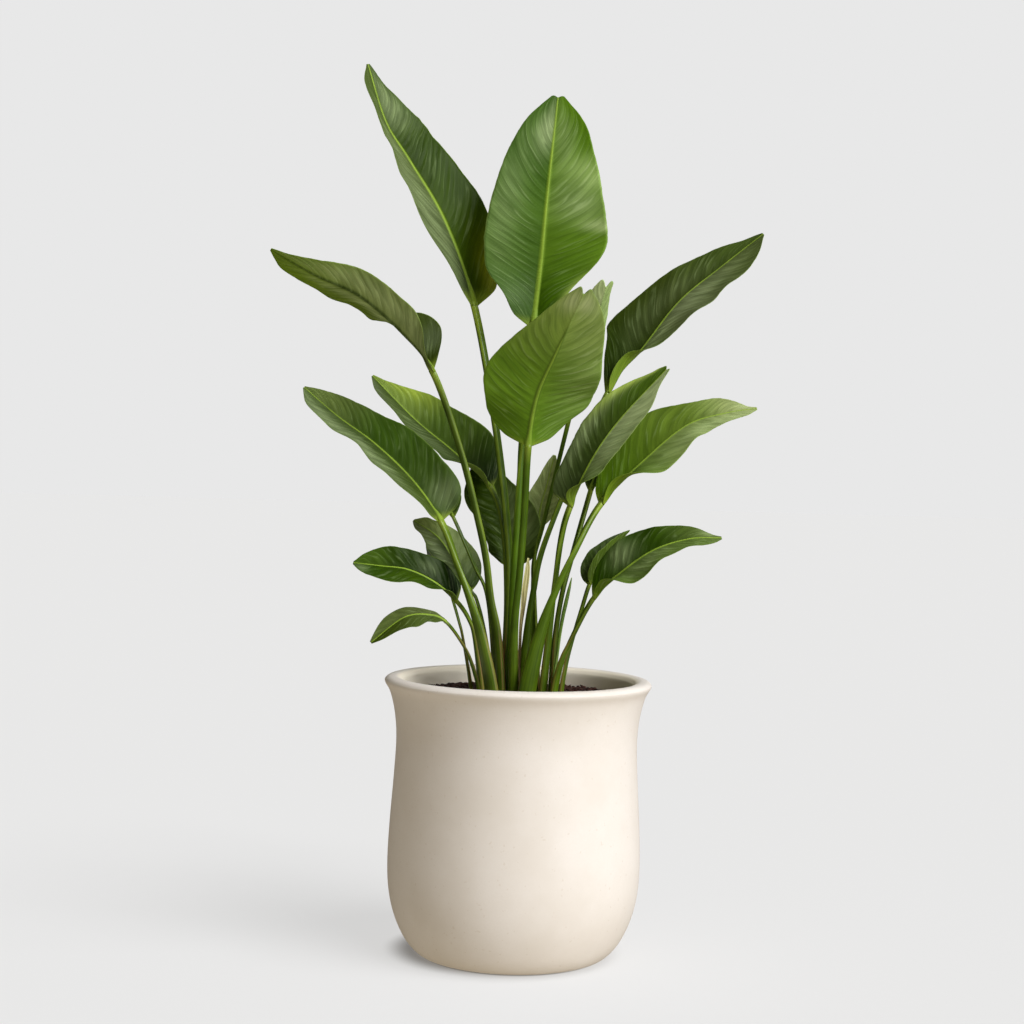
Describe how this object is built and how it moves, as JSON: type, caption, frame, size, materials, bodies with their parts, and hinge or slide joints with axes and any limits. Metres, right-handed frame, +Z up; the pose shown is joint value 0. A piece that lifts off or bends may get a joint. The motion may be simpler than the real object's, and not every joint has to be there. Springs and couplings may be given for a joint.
{
  "type": "potted bird of paradise plant",
  "caption": "Tall leafy houseplant with broad ribbed blades on long upright stalks, fanning out of the soil of a round planter with a full belly and a flared lip.",
  "frame": {"origin": "centre of the planter's flat foot, on the floor", "axes": "+Z up; the fan of leaves spreads along X; -Y is the side the picture shows"},
  "size_m": [0.6423, 0.3661, 1.1917],
  "materials": {
    "planter_clay": "matte",
    "potting_soil": "matte",
    "leaf_blade": "satin",
    "leaf_stalk": "satin",
    "dry_sheath": "matte"
  },
  "bodies": {
    "root": {"planter": "planter_clay", "soil": "potting_soil", "crown_left_stalk": "leaf_stalk", "crown_left_blade": "leaf_blade", "crown_centre_stalk": "leaf_stalk", "crown_centre_blade": "leaf_blade", "front_centre_stalk": "leaf_stalk", "front_centre_blade": "leaf_blade", "young_back_stalk": "leaf_stalk", "young_back_blade": "leaf_blade", "right_high_stalk": "leaf_stalk", "right_high_blade": "leaf_blade", "right_mid_stalk": "leaf_stalk", "right_mid_blade": "leaf_blade", "right_bright_stalk": "leaf_stalk", "right_bright_blade": "leaf_blade", "right_tucked_stalk": "leaf_stalk", "right_tucked_blade": "leaf_blade", "right_low_stalk": "leaf_stalk", "right_low_blade": "leaf_blade", "right_low_back_stalk": "leaf_stalk", "right_low_back_blade": "leaf_blade", "left_high_stalk": "leaf_stalk", "left_high_blade": "leaf_blade", "left_mid_stalk": "leaf_stalk", "left_mid_blade": "leaf_blade", "left_mid_back_stalk": "leaf_stalk", "left_mid_back_blade": "leaf_blade", "centre_low_stalk": "leaf_stalk", "centre_low_blade": "leaf_blade", "centre_right_stalk": "leaf_stalk", "centre_right_blade": "leaf_blade", "left_low_back_stalk": "leaf_stalk", "left_low_back_blade": "leaf_blade", "left_low_stalk": "leaf_stalk", "left_low_blade": "leaf_blade", "left_lowest_stalk": "leaf_stalk", "left_lowest_blade": "leaf_blade", "left_hidden_stalk": "leaf_stalk", "left_hidden_blade": "leaf_blade", "left_tucked_stalk": "leaf_stalk", "left_tucked_blade": "leaf_blade", "rolled_spear": "leaf_stalk", "dry_sheath": "dry_sheath"}
  },
  "joints": []
}
